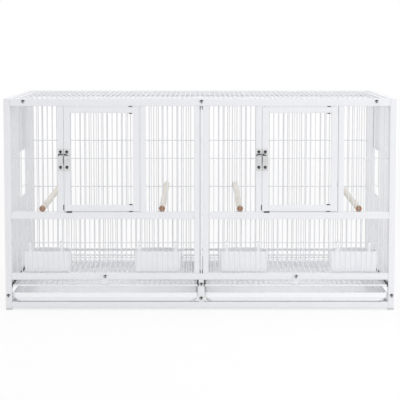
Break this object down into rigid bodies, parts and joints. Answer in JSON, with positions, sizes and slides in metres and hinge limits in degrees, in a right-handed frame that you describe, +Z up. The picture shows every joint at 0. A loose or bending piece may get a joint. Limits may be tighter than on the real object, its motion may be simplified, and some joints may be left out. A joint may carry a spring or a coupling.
{
  "type": "double bird cage",
  "caption": "White wire double bird cage with hinged front doors, slide-out trays and grates, side nest openings, feeder cups, wooden perches and a removable divider panel.",
  "frame": {"origin": "on the floor under the middle of the whole, feet at z 0", "axes": "+X to the right seen from the front, +Y to the back, +Z up"},
  "size_m": [0.94, 0.4708, 0.512],
  "materials": {
    "powder_coat": "satin powder coat",
    "white_plastic": "moulded, slightly glossy",
    "nickel": "plated",
    "black_steel": "black oxide",
    "black_plastic": "moulded",
    "pale_wood": "bare turned dowel",
    "grey_plastic": "moulded"
  },
  "bodies": {
    "cage": {"front_panel": "powder_coat", "back_panel": "powder_coat", "left_side_panel": "powder_coat", "right_side_panel": "powder_coat", "top_panel": "powder_coat", "left_base_rail": "powder_coat", "right_base_rail": "powder_coat", "centre_runner": "powder_coat", "left_upper_pin": "black_plastic", "left_lower_pin": "black_plastic", "right_upper_pin": "black_plastic", "right_lower_pin": "black_plastic", "left_latch_keeper": "nickel", "right_latch_keeper": "nickel", "left_tab_screw": "black_steel", "right_tab_screw": "black_steel", "left_perch_1": "pale_wood", "left_perch_2": "pale_wood", "right_perch_1": "pale_wood", "right_perch_2": "pale_wood", "front_left_foot": "grey_plastic", "front_right_foot": "grey_plastic", "back_left_foot": "grey_plastic", "back_right_foot": "grey_plastic"},
    "left_door_body": {"left_door": "powder_coat", "left_latch_housing": "nickel"},
    "right_door_body": {"right_door": "powder_coat", "right_latch_housing": "nickel"},
    "left_bolt": {"left_latch_bolt": "nickel"},
    "right_bolt": {"right_latch_bolt": "nickel"},
    "left_nest_door_body": {"left_nest_door": "powder_coat"},
    "right_nest_door_body": {"right_nest_door": "powder_coat"},
    "left_tray_body": {"left_tray": "white_plastic"},
    "right_tray_body": {"right_tray": "white_plastic"},
    "left_grate_body": {"left_grate": "powder_coat"},
    "right_grate_body": {"right_grate": "powder_coat"},
    "divider_body": {"divider": "powder_coat", "divider_top_tip": "black_plastic", "divider_bottom_tip": "black_plastic"},
    "left_tab_body": {"left_tab": "powder_coat"},
    "right_tab_body": {"right_tab": "powder_coat"},
    "left_cup_1": {"left_feeder_1": "white_plastic"},
    "left_cup_2": {"left_feeder_2": "white_plastic"},
    "right_cup_1": {"right_feeder_1": "white_plastic"},
    "right_cup_2": {"right_feeder_2": "white_plastic"}
  },
  "joints": [
    {"name": "left_door_hinge", "type": "hinge", "parent": "cage", "child": "left_door_body", "pos_m": [-0.16645, -0.2166, 0.3669], "axis": [0, 0, 1], "range_deg": [0, 115]},
    {"name": "right_door_hinge", "type": "hinge", "parent": "cage", "child": "right_door_body", "pos_m": [0.30895, -0.2166, 0.3669], "axis": [0, 0, 1], "range_deg": [0, 115]},
    {"name": "left_bolt_slide", "type": "slide", "parent": "left_door_body", "child": "left_bolt", "axis": [-1, 0, 0], "range_m": [0, 0.0065]},
    {"name": "right_bolt_slide", "type": "slide", "parent": "right_door_body", "child": "right_bolt", "axis": [-1, 0, 0], "range_m": [0, 0.0065]},
    {"name": "left_nest_door_slide", "type": "slide", "parent": "cage", "child": "left_nest_door_body", "axis": [0, 0, -1], "range_m": [0, 0.118]},
    {"name": "right_nest_door_slide", "type": "slide", "parent": "cage", "child": "right_nest_door_body", "axis": [0, 0, -1], "range_m": [0, 0.118]},
    {"name": "left_tray_slide", "type": "slide", "parent": "cage", "child": "left_tray_body", "axis": [0, -1, 0], "range_m": [0, 0.4]},
    {"name": "right_tray_slide", "type": "slide", "parent": "cage", "child": "right_tray_body", "axis": [0, -1, 0], "range_m": [0, 0.4]},
    {"name": "left_grate_slide", "type": "slide", "parent": "cage", "child": "left_grate_body", "axis": [0, -1, 0], "range_m": [0, 0.4]},
    {"name": "right_grate_slide", "type": "slide", "parent": "cage", "child": "right_grate_body", "axis": [0, -1, 0], "range_m": [0, 0.4]},
    {"name": "divider_slide", "type": "slide", "parent": "cage", "child": "divider_body", "axis": [0, -1, 0], "range_m": [0, 0.43]},
    {"name": "left_tab_pivot", "type": "hinge", "parent": "cage", "child": "left_tab_body", "pos_m": [-0.229, -0.2216, 0.082], "axis": [0, -1, 0], "range_deg": [-90, 90]},
    {"name": "right_tab_pivot", "type": "hinge", "parent": "cage", "child": "right_tab_body", "pos_m": [0.232, -0.2216, 0.082], "axis": [0, -1, 0], "range_deg": [-90, 90]},
    {"name": "left_cup_1_lift", "type": "slide", "parent": "cage", "child": "left_cup_1", "axis": [0, 0, 1], "range_m": [0, 0.05]},
    {"name": "left_cup_2_lift", "type": "slide", "parent": "cage", "child": "left_cup_2", "axis": [0, 0, 1], "range_m": [0, 0.05]},
    {"name": "right_cup_1_lift", "type": "slide", "parent": "cage", "child": "right_cup_1", "axis": [0, 0, 1], "range_m": [0, 0.05]},
    {"name": "right_cup_2_lift", "type": "slide", "parent": "cage", "child": "right_cup_2", "axis": [0, 0, 1], "range_m": [0, 0.05]}
  ]
}
